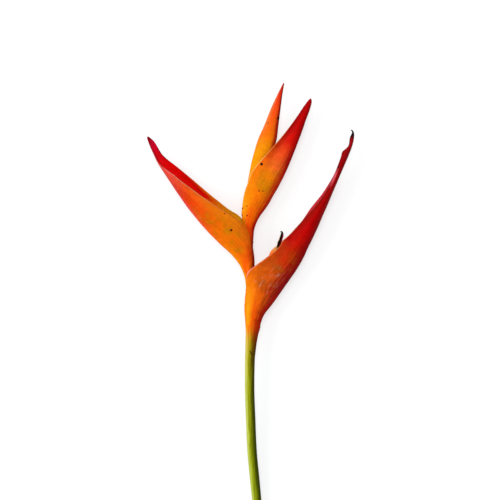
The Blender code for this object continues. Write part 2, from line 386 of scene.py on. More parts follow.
@dataclass(frozen=True, kw_only=True)
class BractFinish(Skin):
    """Skin of a fresh bract, which is a smooth waxy leaf.

    It grew, so its colours run from base to tip without a border.  The keel, the rims and the
    inside are tinted apart from the face, and fine veins run along all of them.  The edge of
    the rims is a thin line of its own tint.  Where the lamp at the left falls, some tints hold
    painted highlights: the pink on the left bract's keel, the coral on the top bract's keel and
    in the upper bract's face, the pale pink of the lowest bract's rim edge at its base, and part
    of the pale scuffs.
    """

    face: Stops
    keel: Stops
    rim: Stops
    margin: Stops
    lining: Stops
    lining_rim: Stops
    # share of the side that the keel's tint takes, and where the rim's tint starts
    keel_share: float = 0.4
    rim_from: float = 0.62
    # from where to where, keel to rim, the lining takes its rim's tint
    lining_edge: Row = (0.5, 0.85)
    # darker cloud in the face: from and to along the bract, its strength, and its colour
    cloud: Row = (0.2, 0.5, 0.3)
    cloud_colour: str = "#b07804"
    # pale scuffs in the wax, partly a painted whitish highlight, dark striae by the keel, and a
    # bleached patch on the rim, likewise
    scuff_and_sheen: Row = (0.0, 0.1, 0.0)
    striae: Row = (0.0, 0.1, 0.0)
    bleach: Row = (0.0, 0.1, 0.0)
    # how far the veins carry the keel's tint into the face where the striae are
    fray: float = 0.0
    # where the thin line on the rim's edge fades in
    margin_from: Row = (0.02, 0.12)
    # where along the bract its tip has dried; past 1, none of it has
    dried_from: float = 2.0
    # dark specks: along, across and radius in millimetres
    specks: Rows = ()

    # Veins are about 0.3 mm apart on the real leaf, and drawn wider so that they show
    VEIN_SPACING = 0.9
    VEIN_LENGTH = 24.0
    # What sets the veins of the inner face apart from those of the outer one
    INNER_VEINS = 9.0
    # Sizes in millimetres of the patterns that shift tints, cloud, scuff and mottle the skin
    DRIFT_SIZE = 9.0
    CLOUD_SIZE = 7.0
    SCUFF_AND_SHEEN_SIZE = 2.6
    MOTTLE_SIZE = 2.4
    # How far tints wander along the bract, how far veins and drift carry the keel's edge, how
    # soft that edge is, and how much the mottle blurs the veins' shade
    DRIFT = 0.10
    KEEL_FRAY = 0.35
    KEEL_DRIFT = 0.3
    KEEL_SOFT = 0.5
    MOTTLE = 0.7
    # Where in a pattern each kind of mark starts and is full, and what the patterns span
    CLOUD_COVER = (0.4, 0.62)
    SCUFF_AND_SHEEN_COVER = (0.48, 0.7)
    SCUFF_AND_SHEEN_VEINS = (0.4, 0.62)
    STRIA_VEINS = (0.5, 0.58)
    PATTERN_SPAN = (0.3, 0.7)
    # The same from keel, 0, to rim, 1, and through the wall from its outer to its inner face
    PATCH_LOWER = (0.2, 0.5)
    PATCH_UPPER = (0.97, 0.78)
    STRIA_EDGE = (0.72, 0.35)
    BLEACH_EDGE = (0.66, 0.84)
    RIM_FULL = 0.96
    MARGIN_EDGE = (0.972, 0.99)
    THROUGH_WALL = (0.45, 0.55)
    # Half of the length over which a stretch and the dried tip fade, along the bract
    STRETCH_SOFT = 0.07
    DRIED_SOFT = 0.012
    # Darkest and lightest shade of the veins, and least and most roughness of the wax
    SHADE = (0.84, 1.1)
    ROUGH = (0.4, 0.52)
    DRIED_ROUGH = 0.3
    # Pale colour of the scuffs, partly a painted whitish highlight
    SCUFF_AND_SHEEN_COLOUR = "#e8b49c"
    STRIA_COLOUR = "#6e0c0a"
    BLEACH_COLOUR = "#e8606c"
    SPECK_COLOUR = "#1c0606"
    DRIED_COLOUR = "#120c0c"

    def build(self, length: float, half_width: float, marks: Marks) -> bpy.types.Material:
        """Make the material.

        Args:
            length: The bract's length in millimetres, for its veins.
            half_width: The width of one of its sides in millimetres.
            marks: World place and radius in millimetres of each dark speck.

        Returns:
            The material.
        """
        material, tree, place = start_material(self.name)
        along, across, inside = (
            add_node(tree, "Attribute", out="Fac", attribute_name=name)
            for name in ("along", "across", "inside")
        )
        edge = add_node(tree, "Math", {0: across}, operation="ABSOLUTE")
        drift, mottle = (
            add_node(tree, "TexNoise", {
                "Vector": place, "Scale": per_mm(size), "Detail": 3.0, "Roughness": finer,
            })
            for size, finer in ((self.DRIFT_SIZE, 0.55), (self.MOTTLE_SIZE, 0.5))
        )
        vein = self.vein_pattern((along, across, inside), length, half_width)
        moved = wandered(wandered(along, drift, self.DRIFT), vein, self.DRIFT / 2)
        tints = (self.face, self.keel, self.rim, self.margin, self.lining, self.lining_rim)
        face, keel, rim, margin, lining, lining_rim = (
            add_node(tree, "ValToRGB", {"Fac": moved}, stops=stops) for stops in tints
        )
        keel_edge = edge
        frayed = self.stretch(along, (*self.striae[:2], self.fray))
        for pattern, reach in ((vein, self.KEEL_FRAY), (drift, self.KEEL_DRIFT), (vein, frayed)):
            keel_edge = wandered(keel_edge, pattern, reach)
        at_keel = mask(keel_edge, *(self.keel_share * (1 + way * self.KEEL_SOFT)
                                    for way in (1, -1)))
        spot = (along, edge, place)
        clouds = self.patches(spot, self.cloud, self.CLOUD_SIZE, self.CLOUD_COVER)
        # pale scuffs, partly a painted whitish highlight
        scuffs_and_sheen = product(mask(vein, *self.SCUFF_AND_SHEEN_VEINS),
                         self.patches(spot, self.scuff_and_sheen, self.SCUFF_AND_SHEEN_SIZE, self.SCUFF_AND_SHEEN_COVER))
        striae = product(mask(vein, *self.STRIA_VEINS), mask(edge, *self.STRIA_EDGE),
                         self.stretch(along, self.striae))
        bleached = product(mask(edge, *self.BLEACH_EDGE), self.stretch(along, self.bleach))
        thin = product(mask(edge, *self.MARGIN_EDGE), mask(along, *self.margin_from))
        lining = layered(tree, lining, [(mask(edge, *self.lining_edge), lining_rim)])
        colour = layered(tree, face, (
            (at_keel, keel),
            (clouds, self.cloud_colour),
            (scuffs_and_sheen, self.SCUFF_AND_SHEEN_COLOUR),
            (striae, self.STRIA_COLOUR),
            (mask(edge, self.rim_from, self.RIM_FULL), rim),
            (bleached, self.BLEACH_COLOUR),
            (thin, margin),
            (dark_marks(place, marks), self.SPECK_COLOUR),
            (mask(inside, *self.THROUGH_WALL), lining),
        ))
        low, high = self.PATTERN_SPAN
        mottled = wandered(vein, mottle, self.MOTTLE)
        shade, rough = (
            add_node(tree, "MapRange", {
                "Value": pattern, "From Min": low, "From Max": high, "To Min": least,
                "To Max": most,
            })
            for pattern, (least, most) in ((mottled, self.SHADE), (drift, self.ROUGH))
        )
        colour = layered(tree, colour, [(1.0, shade)], blend="MULTIPLY")
        dried = mask(moved, self.dried_from - self.DRIED_SOFT, self.dried_from + self.DRIED_SOFT)
        colour = layered(tree, colour, [(dried, self.DRIED_COLOUR)])
        rough = add_node(tree, "Math", {0: dried, 1: self.DRIED_ROUGH, 2: rough},
                         operation="MULTIPLY_ADD")
        self.cover(colour, rough, self.grain(place), vein)
        return material

    def vein_pattern(self, place: tuple[Socket, Socket, Socket], length: float,
                     half_width: float) -> Socket:
        """Streaks that follow the bract from base to tip.

        Args:
            place: The place along, across and inside the bract.
            length: The bract's length in millimetres.
            half_width: The width of one of its sides in millimetres.

        Returns:
            The pattern's output, about 0.5 in the mean.
        """
        scales = (length / self.VEIN_LENGTH, half_width / self.VEIN_SPACING, self.INNER_VEINS)
        scaled = [product(value, scale) for value, scale in zip(place, scales)]
        tree = scaled[0].id_data
        vector = add_node(tree, "CombineXYZ", dict(enumerate(scaled)))
        return add_node(tree, "TexNoise", {
            "Vector": vector, "Scale": 1.0, "Detail": 3.0, "Roughness": 0.6,
        })

    def stretch(self, along: Socket, span: Row) -> Socket | float:
        """Mask of a stretch of the bract with soft ends.

        Args:
            along: The place along the bract.
            span: From and to along the bract, and the mask's strength.

        Returns:
            The mask.
        """
        start, end, strength = span
        soft = min(self.STRETCH_SOFT, (end - start) / 2)
        return product(mask(along, start - soft, start + soft),
                       mask(along, end + soft, end - soft), strength)

    def patches(self, place: tuple[Socket, Socket, Socket], span: Row, size: float,
                cover: Row) -> Socket | float:
        """Irregular patches in the middle of the face.

        Args:
            place: The place along the bract and from keel to rim, and Object coordinates.
            span: From and to along the bract, and the patches' strength.
            size: How large the patches are, in millimetres.
            cover: Where in the pattern the patches start, and where they are full.

        Returns:
            The patches' mask.
        """
        along, edge, point = place
        pattern = add_node(point.id_data, "TexNoise", {
            "Vector": point, "Scale": per_mm(size), "Detail": 4.0, "Roughness": 0.6,
        })
        return product(mask(pattern, *cover), mask(edge, *self.PATCH_LOWER),
                       mask(edge, *self.PATCH_UPPER), self.stretch(along, span))


@dataclass(frozen=True, kw_only=True)
class StalkFinish(Skin):
    """Skin of a stem, a floret or a bud, which grew smooth, with streaks along it and tints down
    its left and right sides, mostly painted light and painted shade.
    """

    colours: Stops
    streaks: Stops
    # tints of the piece's left and right sides along it, and how much of them shows: on the stem,
    # the floret's base and the buds they are painted light on the left and painted shade on the
    # right, with the floret base's pale streak near the petals in its right tint; on the withered
    # petals they are a tan left edge and a red right edge
    left: Stops
    right: Stops
    left_light_and_edge_share: float
    right_shade_and_edge_share: float
    # from where to where, with -1 at the left and 1 at the right, each tint comes in
    left_edge: Row = (-0.25, -0.9)
    right_edge: Row = (-0.45, 0.75)
    streak_width: float = 0.8
    streak_length: float = 15.0
    # brown marks: x, y, height over the head's middle plane, and radius, in millimetres
    marks: Rows = ()
    roughness: float = 0.46

    GRAIN_SHARE = 0.3
    GLOW_REACH = (0.8, 0.6, 0.15)
    # How far the streaks carry the colours along the piece, and its side tints round it
    DRIFT = 0.06
    SIDE_FRAY = 0.5
    # Where in their pattern the streaks start, and where they are full
    STREAK_COVER = (0.35, 0.7)
    # How far the grain lowers and raises the roughness
    SMOOTHER = 0.06
    ROUGHER = 0.08
    MARK_COLOUR = "#40200a"
    MARK_STRENGTH = 0.8

    def build(self) -> bpy.types.Material:
        """Make the material, whose colours run along the piece."""
        material, tree, place = start_material(self.name)
        along, side = (
            add_node(tree, "Attribute", out="Fac", attribute_name=name)
            for name in ("along", "side")
        )
        width, length = per_mm(self.streak_width), per_mm(self.streak_length)
        stretched = add_node(tree, "Mapping", {"Vector": place, "Scale": (width, length, width)})
        streak = add_node(tree, "TexNoise", {
            "Vector": stretched, "Scale": 1.0, "Detail": 3.0, "Roughness": 0.55,
        })
        moved = wandered(along, streak, self.DRIFT)
        plain, streaky, left, right = (
            add_node(tree, "ValToRGB", {"Fac": moved}, stops=stops)
            for stops in (self.colours, self.streaks, self.left, self.right)
        )
        frayed = wandered(side, streak, self.SIDE_FRAY)
        marks = [(to_metres(Vector(row[:3])), row[3]) for row in self.marks]
        colour = layered(tree, plain, (
            (mask(streak, *self.STREAK_COVER), streaky),
            # painted light on the left side and painted shade on the right, except on the withered
            # petals, where these are tan and red edges
            (product(mask(frayed, *self.left_edge), self.left_light_and_edge_share), left),
            (product(mask(frayed, *self.right_edge), self.right_shade_and_edge_share), right),
            (product(dark_marks(place, marks), self.MARK_STRENGTH), self.MARK_COLOUR),
        ))
        grain = self.grain(place)
        rough = add_node(tree, "MapRange", {
            "Value": grain, "To Min": self.roughness - self.SMOOTHER,
            "To Max": self.roughness + self.ROUGHER,
        })
        self.cover(colour, rough, grain, streak)
        return material


@dataclass(frozen=True)
class CutFinish:
    """Cut face of the stem, where a blade went through moist tissue.

    It is pale and even, with the darker dots of the cut fibres.
    """

    name: str = "cut_stem_tissue"
    tissue: str = "#ccd488"
    fibre: str = "#76802a"
    spacing: float = 0.55
    roughness: float = 0.5

    # Where, in spacings from its middle, a fibre starts and where it is full
    FIBRE_EDGE = (0.36, 0.2)
    # How far the tissue stands out between the fibres, in millimetres
    RELIEF = 0.1

    def build(self) -> bpy.types.Material:
        """Make the material."""
        material, tree, place = start_material(self.name)
        cells = add_node(tree, "TexVoronoi", {"Vector": place, "Scale": per_mm(self.spacing)})
        bump = add_node(tree, "Bump", {"Height": cells, "Distance": self.RELIEF * MM})
        colour = layered(tree, self.tissue, [(mask(cells, *self.FIBRE_EDGE), self.fibre)])
        end_material(tree, {"Base Color": colour, "Roughness": self.roughness, "Normal": bump})
        return material


@dataclass(frozen=True)
class Tube:
    """A round piece along a path, rolled up from a grid and closed at its ends."""

    name: str
    node: str
    slot: str
    rings: Rows
    finish: StalkFinish
    steps: int
    sides: int
    # waves round the piece: how many, their height as a share of the radius, and their turn in
    # radians from end to end
    waves: int = 0
    wave_height: float = 0.0
    twist: float = 0.0

    # Material index of the end faces, and how close the seam's vertices lie, in metres
    END = 1
    SEAM = 1e-8

    def roll(self, place: Callable[[float, float], Vector]) -> bmesh.types.BMesh:
        """Roll the grid up.

        Args:
            place: Gives the point for the place along the piece and the angle round it.

        Returns:
            The closed tube, whose end faces have a material index of their own.
        """
        bm = bmesh.new()
        bmesh.ops.create_grid(bm, x_segments=self.steps, y_segments=self.sides, size=0.5)
        shares, sides = (bm.verts.layers.float.new(name) for name in ("along", "side"))
        for vert in bm.verts:
            along, angle = vert.co.x + 0.5, 2 * math.pi * (vert.co.y + 0.5)
            vert[shares], vert[sides] = along, math.cos(angle)
            vert.co = to_metres(place(along, angle))
        bmesh.ops.remove_doubles(bm, verts=bm.verts, dist=self.SEAM)
        ends = [edge for edge in bm.edges if edge.is_boundary]
        for face in bmesh.ops.holes_fill(bm, edges=ends, sides=0)["faces"]:
            face.material_index = self.END
        bmesh.ops.recalc_face_normals(bm, faces=bm.faces)
        return bm

    def swell(self, along: float, angle: float) -> float:
        """What the radius is times at a place, for the waves round the piece."""
        return 1 + self.wave_height * math.cos(self.waves * angle + self.twist * along)


@dataclass(frozen=True)
class Stem(Tube):
    """The cut stem and the zigzag axis inside the head.

    A ring is x, y, half width, half depth, and its turn in degrees.
    """

    cut_finish: CutFinish = CutFinish()
    # where the stem starts to come down, the height of its cut end, and how steep it is there
    level_y: float = -14.0
    cut_height: float = 2.36
    bow: float = 1.4

    # Width of the cut face's rim, and how deep the face is dished
    CUT_RIM = 0.3
    CUT_DISH = 0.12

    def drop(self, y: float) -> float:
        """How far the stem's centre lies under the head's middle plane."""
        share = max(0.0, (self.level_y - y) / (self.level_y - self.rings[0][1]))
        eased = share**2 * (3 - self.bow) + share**3 * (self.bow - 2)
        return eased * (HEAD_HEIGHT - self.cut_height)

    def build(self) -> bpy.types.Object:
        """Make the stem, with a slightly dished cut face."""
        path = Curve(self.rings, measured=2, slopes=Slopes.STEADY)
        rings = {}

        def place(along: float, angle: float) -> Vector:
            """Point of the stem's surface."""
            key = round(along, DIGITS)
            if key not in rings:
                rings[key] = path.values(along)
            x, y, half_width, half_depth, turn = rings[key]
            grow = self.swell(along, angle)
            reach = half_width * grow * math.cos(angle)
            return Vector((
                x + reach * math.cos(math.radians(turn)),
                y + reach * math.sin(math.radians(turn)),
                half_depth * grow * math.sin(angle) - self.drop(y),
            ))

        bm = self.roll(place)
        caps = [face for face in bm.faces if face.material_index == self.END]
        cut = min(caps, key=lambda face: face.calc_center_median().y)
        bmesh.ops.inset_region(bm, faces=[cut], thickness=self.CUT_RIM * MM,
                               depth=-self.CUT_DISH * MM)
        materials = (self.finish.build(), self.cut_finish.build())
        return finish_piece(self.name, bm, materials, self.node)


@dataclass(frozen=True)
class Spindle(Tube):
    """A slender floret or bud.

    A ring is x, y, height over the head's middle plane, and half width.
    """

    flatness: float = 1.0
    # uneven lumps: their height as a share of the radius, and their size
    lump: float = 0.0
    lump_size: float = 2.0

    def build(self) -> bpy.types.Object:
        """Make the piece."""
        path = Curve(self.rings)

        def place(along: float, angle: float) -> Vector:
            """Point of the piece's surface."""
            x, y, z, half_width = path.values(along)
            ahead = path.direction(along)
            across = ahead.cross(Vector((0.0, 0.0, 1.0))).normalized()
            upward = across.cross(ahead)
            out = across * math.cos(angle) + upward * (self.flatness * math.sin(angle))
            middle = Vector((x, y, z))
            lumps = self.lump * noise.noise((middle + out * half_width) / self.lump_size)
            return middle + out * (half_width * (self.swell(along, angle) + lumps))

        bm = self.roll(place)
        for face in bm.faces:
            face.material_index = 0
        return finish_piece(self.name, bm, (self.finish.build(),), self.node)


@dataclass(frozen=True)
class Section:
    """What shapes one section of a bract: its keel, its rims, and how full its sides are."""

    keel: Vector
    near: Vector
    far: Vector
    side: Vector
    fullness: float

    @property
    def middle(self) -> Vector:
        """The point midway between the rims."""
        return (self.near + self.far) / 2


@dataclass(frozen=True)
class Bract:
    """One boat-shaped bract, lofted from its keel to the rims of its two sides."""

    name: str
    node: str
    slot: str
    finish: BractFinish
    # x, y, height over the head's middle plane, and fullness of the side
    keel: Rows
    # x, y, height over the head's middle plane
    near_rim: Rows
    # the same for the far side, where it doesn't mirror the near one
    far_rim: Rows = ()
    # how far a mirrored far rim stands out past the near one at its hump, as a share of the way
    # from the keel
    far_reach: float = 0.0
    # where the keel and the near rim start inside the stem
    root: Rows = ()
    # thickness of the wall at the keel and at the rims
    wall: float = 0.62
    rim_wall: float = 0.36
    # soft dents in the sides: how deep and how wide
    dent: float = 0.22
    dent_size: float = 8.0
    # ribs along the lower stretch of a side: how many and how high
    ribs: int = 9
    rib: float = 0.04

    STEPS_ALONG = 150
    STEPS_ACROSS = 96
    # Shape of a half section, as in the solids
    KEEL_SHARE = 0.55
    BELLY_SHARE = 1.25
    BELLY_AT = 0.55
    WALL_SHARE = 0.85
    CORE_START = 0.18
    CORE_OVER_RIM = 0.03
    # The wall starts thin at the base, which lies close on the stem, and is full from here on
    ROOT_SHARE = 0.05
    ROOT_WALL = 0.25
    # From where to where the far rim's hump rises and falls, the relief comes in at the base and
    # at the tip, and the ribs come in
    HUMP_RISE = (0.5, 0.65)
    HUMP_FALL = (0.795, 0.705)
    BASE_FADE = (0.0, 0.12)
    TIP_FADE = (1.0, 0.85)
    RIB_FADE = (0.75, 0.35)
    # Least room in the boat, and the room from which on the relief is full, in millimetres
    LEAST_ROOM = 1e-6
    FULL_ROOM = 3.0
    # Mean depth of the dents, and how far apart the two sides read their pattern
    DENT_MEAN = 0.4
    SIDES_APART = 3.0
    # Where the sides are widest
    WIDEST_AT = 0.4

    @cached_property
    def curves(self) -> list[Curve]:
        """The keel and the near rim, and the far rim where it has its own."""
        keel, near = self.root or ((), ())
        far = (*near[:2], -near[2]) if near else ()
        return [Curve(rows, root=root) for rows, root in
                ((self.keel, keel), (self.near_rim, near), (self.far_rim, far)) if rows]

    def section(self, along: float) -> Section:
        """Shape of the bract's section at a place from base, 0, to tip, 1.

        Args:
            along: The place along the bract.

        Returns:
            The section.
        """
        x, y, z, fullness = self.curves[0].values(along)
        keel, near = Vector((x, y, z)), self.curves[1].at(along)
        hump = ease(*self.HUMP_RISE, along) * ease(*self.HUMP_FALL, along)
        far = keel + (near - keel) * (1 + self.far_reach * hump)
        far.z = 2 * keel.z - near.z
        if self.far_rim:
            far = self.curves[2].at(along)
        side = self.curves[0].direction(along).cross((near + far) / 2 - keel).normalized()
        if side.z < 0:
            side = -side
        return Section(keel, near, far, side, fullness)

    def surface(self, section: Section, along: float, across: float, inside: bool) -> Vector:
        """Point of the bract's outer or inner face.

        Args:
            section: The section at this place along the bract.
            along: The place from base to tip.
            across: The place from the far rim, -1, over the keel, 0, to the near rim, 1.
            inside: Whether it is a point of the inner face.

        Returns:
            The point in millimetres.
        """
        way = Side.NEAR if across >= 0 else Side.FAR
        rim = section.near if way is Side.NEAR else section.far
        out = section.side * way.value
        keel, v = section.keel, abs(across)
        up = rim - keel
        belly = keel + up * self.BELLY_AT
        belly += out * (self.BELLY_SHARE * section.fullness - (up * self.BELLY_AT).dot(out))
        shoulder = keel + out * (self.KEEL_SHARE * section.fullness)
        point = (keel * (1 - v)**3 + shoulder * (3 * v * (1 - v)**2)
                 + belly * (3 * v**2 * (1 - v)) + rim * v**3)
        height = 3 * self.BELLY_AT * v**2 * (1 - v) + v**3
        rise = self.CORE_START + (1 + self.CORE_OVER_RIM - self.CORE_START) * height
        pull = keel + (section.middle - keel) * rise - point
        room = max(pull.length, self.LEAST_ROOM)
        inward = pull / room
        point += inward * self.relief(point, along, v, way, room)
        if not inside:
            return point
        wall = self.wall + (self.rim_wall - self.wall) * v**3
        wall *= self.ROOT_WALL + (1 - self.ROOT_WALL) * ease(0.0, self.ROOT_SHARE, along)
        return point + inward * min(wall, room * self.WALL_SHARE)

    def relief(self, point: Vector, along: float, v: float, way: Side, room: float) -> float:
        """How far the wall is pressed in: soft dents, and ribs on the lower stretch.

        Args:
            point: The plain point in millimetres.
            along: The place from base to tip.
            v: The place from keel to rim.
            way: The side of the bract.
            room: The way in millimetres from the point to the middle of the boat.

        Returns:
            The depth in millimetres.
        """
        free = ease(*self.BASE_FADE, along) * ease(*self.TIP_FADE, along)
        free *= min(1.0, room / self.FULL_ROOM)
        shifted = point / self.dent_size + Vector((0.0, 0.0, self.SIDES_APART * way.value))
        dents = self.dent * (self.DENT_MEAN + noise.noise(shifted))
        ribs = self.rib * math.cos(2 * math.pi * self.ribs * v) * (1 - v**4)
        return free * (dents + ribs * ease(*self.RIB_FADE, along))

    def build(self) -> bpy.types.Object:
        """Make the bract: a grid that is given its thickness and laid on the loft."""
        bm = bmesh.new()
        bmesh.ops.create_grid(bm, x_segments=self.STEPS_ALONG, y_segments=self.STEPS_ACROSS,
                              size=0.5)
        bmesh.ops.solidify(bm, geom=bm.faces[:], thickness=1.0)
        layers = [bm.verts.layers.float.new(name) for name in ("along", "across", "inside")]
        lowest = min(vert.co.z for vert in bm.verts)
        start = -Curve.ROOT if self.root else 0.0
        sections: dict[float, Section] = {}
        for vert in bm.verts:
            along = round(start + (vert.co.x + 0.5) * (1 - start), DIGITS)
            across = vert.co.y * 2
            inside = vert.co.z > lowest + 0.5
            if along not in sections:
                sections[along] = self.section(along)
            for layer, value in zip(layers, (along, across, float(inside))):
                vert[layer] = value
            vert.co = to_metres(self.surface(sections[along], along, across, inside))
        bmesh.ops.recalc_face_normals(bm, faces=bm.faces)
        marks = [
            (to_metres(self.surface(self.section(along), along, across, False)), radius)
            for along, across, radius in self.finish.specks
        ]
        widest = self.section(self.WIDEST_AT)
        half_width = (widest.near - widest.keel).length
        material = self.finish.build(self.curves[0].length, half_width, marks)
        return finish_piece(self.name, bm, (material,), self.node)


LOWEST_BRACT = Bract(
    name="lowest_bract_leaf",
    node="bract_lowest",
    slot="bract_skin_red",
    finish=BractFinish(
        name="fresh_waxy_red_bract",
        face=ramp("0 #f45404, .08 #f46806, .2 #de5c0e, .29 #ce380a, .37 #d01a04, .5 #c20404, "
                  ".8 #9c0204, 1 #a81018"),
        keel=ramp("0 #ac1004, .07 #b41c0c, .2 #a01418, .35 #9a0408, .6 #a80404, 1 #900a10"),
        rim=ramp("0 #fc9c0a, .1 #fa8408, .17 #ea6c08, .24 #c24e04, .3 #be4206, .42 #a40808, "
                 ".55 #9a1008, .7 #8a0404, 1 #900c10"),
        # the margin's pale pink from .14 to .25 is a painted highlight along the rim where it
        # clasps the stem
        margin=ramp("0 #f4883c, .14 #f48850, .19 #f48c74, .25 #f08454, .32 #e07040, .44 #c05428, "
                    ".5 #5c2c14, .7 #5c2410, .74 #e06068, .79 #b04850, .81 #501020, 1 #3c0c14"),
        lining=ramp("0 #e06408, .15 #d8380a, .35 #cc160c, .7 #c81c18, 1 #a01418"),
        lining_rim=ramp("0 #e86c0c, .2 #d84c14, .4 #f04c40, .55 #ff4452, .7 #ff6070, 1 #a02024"),
        keel_share=0.44,
        cloud=(0.12, 0.34, 0.9),
        cloud_colour="#b44c06",
        # pale scuffs near the base, partly a painted whitish highlight
        scuff_and_sheen=(0.14, 0.26, 0.5),
        striae=(-0.1, 0.24, 0.8),
        fray=1.3,
        bleach=(0.73, 0.79, 0.85),
        margin_from=(0.13, 0.18),
        dried_from=0.955,
        specks=((0.81, 0.9, 0.55),),
    ),
    keel=(
        (5.5, -14.6, 0, 4.1), (7, -10.6, 0, 4.9), (12.35, -3.4, 0, 5.9), (19.8, 7.1, 0, 6.9),
        (27.3, 18.3, 0, 7.55), (32.4, 28.6, 0, 7.74), (36.4, 37.1, 0, 7.55), (43.8, 54.2, 0, 6.2),
        (51.35, 71.9, 0, 4), (53.9, 77.9, 0, 2.9), (56, 83.5, 0, 2), (56.9, 87.7, 0, 1.3),
        (57, 90.1, 0, 0.9), (56.2, 92, 0, 0.6), (55.3, 92.4, 0, 0.5),
    ),
    near_rim=(
        (-2.2, -7, 2.9), (-2.3, -1.8, 1.9), (-2.3, 2.6, 2.1), (-2.2, 6.2, 3.3), (-2.3, 9.6, 4.6),
        (-2.2, 12.3, 5.4), (-1, 14.6, 5.7), (1.9, 16.9, 5.8), (9.2, 22.3, 5.6), (14.8, 26.9, 5.3),
        (16.3, 28.6, 5.25), (17.2, 30.5, 5.15), (18.2, 31.7, 5.1), (19.8, 33, 5.05),
        (21.6, 34.7, 5), (25.5, 38.9, 4.8), (32.3, 46.3, 4.3), (38.8, 54.1, 3.8),
        (43.35, 61.4, 3.1), (46.65, 69.1, 2.4), (48.2, 73.1, 2.1), (50, 78.3, 1.6),
        (50.5, 80.2, 1.5), (51.2, 80.9, 1.4), (52.8, 82.2, 1.2), (54, 83.9, 1), (54.3, 85.4, 0.9),
        (54.5, 87.2, 0.8), (55, 88.9, 0.6), (55.8, 90.6, 0.45), (55.7, 91.5, 0.4),
        (55.1, 91.9, 0.35),
    ),
    far_reach=0.32,
    root=((3.7, -19.5, 0, 3.3), (-1.9, -15, 2.3)),
)

LEFT_BRACT = Bract(
    name="left_bract_leaf",
    node="bract_left",
    slot="bract_skin_orange",
    finish=BractFinish(
        name="fresh_waxy_orange_bract_left",
        face=ramp("0 #ff9204, .1 #f45804, .22 #e26a04, .3 #ee6e04, .4 #e86004, .5 #e84808, "
                  ".6 #de3c08, .68 #dc4028, .8 #dc4c3c, 1 #d23838"),
        # the keel faces the lamp: its pink from halfway to the tip is partly a painted highlight
        # on its red-orange
        keel=ramp("0 #ffa404, .2 #fd8804, .36 #fa640c, .5 #f85030, .62 #f64654, .75 #f45064, "
                  ".84 #ee5c64, 1 #d83c3c"),
        rim=ramp("0 #ec6a0c, .12 #c83a06, .25 #d66606, .35 #e87e06, .45 #e67206, .54 #e8640e, "
                 ".62 #e2520e, .71 #dc4c2e, .8 #ec4c44, 1 #c41810"),
        margin=ramp("0 #cc5008, .2 #d4600a, .35 #d86c18, .5 #d88040, .65 #dc8860, .78 #e88c80, "
                    ".84 #6c1814, .9 #4a1018, 1 #6c0820"),
        lining=ramp("0 #fcb41c, .3 #ffb810, .42 #ffa006, .49 #ff7408, .54 #f41408, .8 #f00806, "
                    ".9 #e80a1c, .95 #dc0c38, 1 #c01424"),
        lining_rim=ramp("0 #ffc828, .32 #ffc020, .46 #ff9e12, .58 #fc7c10, .66 #ee200a, "
                        ".82 #d00a10, .86 #5c0a14, .9 #700a28, .94 #c80c48, 1 #700a18"),
        lining_edge=(0.88, 0.99),
        keel_share=0.34,
        cloud=(0.16, 0.5, 0.7),
        margin_from=(0.1, 0.2),
        specks=((0.295, 0.725, 0.62), (0.385, 0.95, 0.34)),
    ),
    keel=(
        (-2.5, 5.2, 0, 3.9), (-3.2, 10.9, 0, 4.2), (-5.3, 16.4, -0.3, 4.8),
        (-9.8, 22.7, -0.9, 5.7), (-17, 29.4, -1.75, 6.7), (-26.3, 39.4, -2.35, 6.9),
        (-34.6, 49.6, -2.75, 6.2), (-42, 60.6, -2.9, 5), (-47.3, 69.5, -3.3, 3.6),
        (-50.6, 76.8, -3.6, 2.6), (-53.6, 82.8, -3.2, 1.8), (-56, 86.8, -2.3, 1.1),
        (-56.9, 88.2, -1.8, 0.6),
    ),
    near_rim=(
        (1.2, 14, 2.2), (1, 17.3, 2.9), (0.6, 22.3, 4), (0.2, 27.5, 4.7), (-0.4, 32.5, 5.2),
        (-1.7, 36.8, 5.5), (-4.5, 40.2, 5.8), (-10.8, 45.3, 6.2), (-18.7, 50, 6.2),
        (-29.2, 57.1, 5.4), (-41.3, 66.3, 3.4), (-50.5, 74.2, 1), (-52.9, 78.6, 0),
        (-55.3, 83.3, -0.6), (-56.8, 88, -1.1),
    ),
    far_rim=(
        (1.6, 14, -2.2), (1.6, 19.5, -3.2), (1.4, 26.1, -4.4), (0, 33.9, -5), (-3.8, 41.6, -5.1),
        (-5.3, 44, -4.9), (-7.6, 46, -4.6), (-10.3, 47.5, -4.2), (-18.8, 53.9, -3.2),
        (-29.3, 62.7, -2.6), (-39.8, 71.4, -2.4), (-47.1, 77.4, -2.2), (-48.9, 79.1, -2.1),
        (-50.3, 81.1, -2), (-51.9, 84.1, -1.9), (-53.2, 86.1, -1.8), (-54.8, 87.5, -1.6),
        (-56.6, 88.8, -1.3),
    ),
    root=((-2.3, 0.5, 0, 2.4), (1, 6, 1.6)),
)

